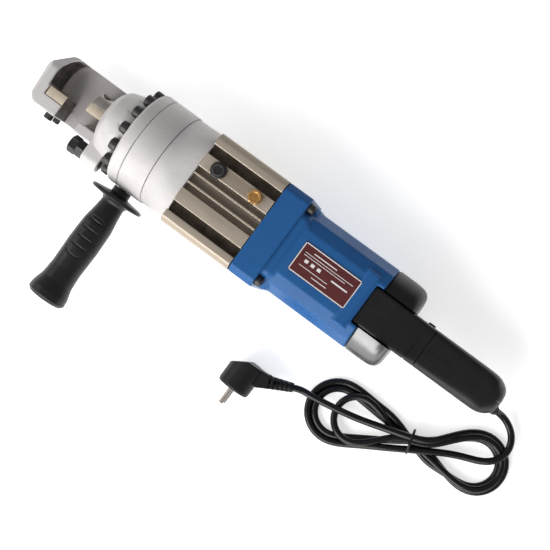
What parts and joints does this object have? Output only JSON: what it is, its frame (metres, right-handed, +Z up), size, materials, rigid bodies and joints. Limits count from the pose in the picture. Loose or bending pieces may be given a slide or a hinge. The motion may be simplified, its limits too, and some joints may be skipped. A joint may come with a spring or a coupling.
{
  "type": "rebar cutter",
  "caption": "Portable electric-hydraulic rebar cutter with open-jaw head, finned gear case, blue motor housing, inline grip, side handle and tied mains cord with plug.",
  "frame": {"origin": "centre of the machine's box, its cord and plug left out, on the surface it lies on", "axes": "+X along the tool to the cutting head, +Y towards the side handle, +Z up through the open jaw"},
  "size_m": [0.643, 0.249, 0.115],
  "materials": {
    "silver_paint": "silver hammered paint over castings",
    "anodised": "champagne anodised extrusion",
    "blue_paint": "gloss blue paint",
    "black_plastic": "fine moulded grain",
    "gloss_black": "polished moulding",
    "black_steel": "black oxide",
    "blade_steel": "ground tool steel with a straw tint",
    "steel": "machined",
    "iron": "as cast",
    "brass": "turned",
    "copper": "copper winding and commutator",
    "carbon": "pressed carbon",
    "rubber": "moulded",
    "cord_rubber": "smooth mains sheath",
    "nameplate": "maroon print with a white border"
  },
  "bodies": {
    "machine": {"cutter_head": "silver_paint", "fixed_blade": "blade_steel", "fixed_blade_screw_front": "black_steel", "fixed_blade_screw_rear": "black_steel", "head_bolts": "black_steel", "return_spring": "steel", "cylinder": "silver_paint", "pump_case": "silver_paint", "stopper_nut": "black_steel", "gear_case": "anodised", "fill_plug": "black_steel", "bleed_screw": "brass", "oil_bladder": "rubber", "pump_block": "iron", "motor_housing": "blue_paint", "motor_bolt_left_top": "black_steel", "motor_bolt_right_top": "black_steel", "motor_bolt_right_bottom": "black_steel", "motor_bolt_left_bottom": "black_steel", "nameplate": "nameplate", "field_core": "iron", "front_bearing": "steel", "rear_bearing": "steel", "rear_bracket": "iron", "brush_holder_left": "brass", "brush_holder_right": "brass", "rear_cover_left": "gloss_black", "rear_cover_right": "gloss_black", "handle_root": "black_plastic", "grip_left": "black_plastic", "grip_right": "black_plastic", "switch_body": "black_plastic", "side_handle_stud": "steel", "side_handle_grip": "black_plastic", "cord_guard": "rubber", "cord_exit_run": "cord_rubber", "cord_plug_run": "cord_rubber", "cord_hank": "cord_rubber", "plug_body": "rubber", "plug_pin_upper": "steel", "plug_pin_lower": "steel"},
    "piston_body": {"piston": "steel", "piston_seal": "rubber", "moving_blade": "blade_steel", "moving_blade_screw": "black_steel"},
    "stopper_body": {"stopper_bolt": "black_steel"},
    "release_body": {"release_knob": "black_steel"},
    "plunger_body": {"pump_plunger": "steel"},
    "layshaft_body": {"drive_gear": "steel", "eccentric_shaft": "steel", "eccentric_bearing": "steel"},
    "armature_body": {"armature_shaft": "steel", "armature_core": "copper", "commutator": "copper", "cooling_fan": "black_plastic"},
    "brush_left_body": {"carbon_brush_left": "carbon"},
    "brush_right_body": {"carbon_brush_right": "carbon"},
    "trigger_body": {"trigger": "black_plastic"},
    "lock_body": {"lock_button": "black_plastic"}
  },
  "joints": [
    {"name": "piston_stroke", "type": "slide", "parent": "machine", "child": "piston_body", "axis": [1, 0, 0], "range_m": [0, 0.023], "stiffness_N_per_m": 4000, "springref_m": -0.006, "deforming": ["return_spring"]},
    {"name": "stopper_adjust", "type": "slide", "parent": "machine", "child": "stopper_body", "axis": [1, 0, 0], "range_m": [0, 0.018]},
    {"name": "release_turn", "type": "hinge", "parent": "machine", "child": "release_body", "pos_m": [0.11725, -0.0705, 0.054], "axis": [0, -0.6235, -0.7818], "range_deg": [0, 180]},
    {"name": "plunger_stroke", "type": "slide", "parent": "machine", "child": "plunger_body", "axis": [0, 0, 1], "range_m": [0, 0.005], "stiffness_N_per_m": 800, "springref_m": -0.003},
    {"name": "armature_spin", "type": "hinge", "parent": "machine", "child": "armature_body", "pos_m": [0, -0.0705, 0.054], "axis": [1, 0, 0], "continuous": true},
    {"name": "layshaft_spin", "type": "hinge", "parent": "machine", "child": "layshaft_body", "pos_m": [0, -0.0705, 0.033], "axis": [1, 0, 0], "continuous": true},
    {"name": "brush_left_wear", "type": "slide", "parent": "machine", "child": "brush_left_body", "axis": [0, 1, 0], "range_m": [0, 0.005], "stiffness_N_per_m": 150, "springref_m": -0.01},
    {"name": "brush_right_wear", "type": "slide", "parent": "machine", "child": "brush_right_body", "axis": [0, -1, 0], "range_m": [0, 0.005], "stiffness_N_per_m": 150, "springref_m": -0.01},
    {"name": "trigger_press", "type": "slide", "parent": "machine", "child": "trigger_body", "axis": [0, 0, 1], "range_m": [0, 0.005], "stiffness_N_per_m": 1200, "springref_m": -0.002},
    {"name": "lock_press", "type": "slide", "parent": "machine", "child": "lock_body", "axis": [0, 1, 0], "range_m": [0, 0.003], "stiffness_N_per_m": 400, "springref_m": -0.002}
  ],
  "couplings": [
    {"joint": "layshaft_spin", "follows": "armature_spin", "ratio": -0.4}
  ]
}
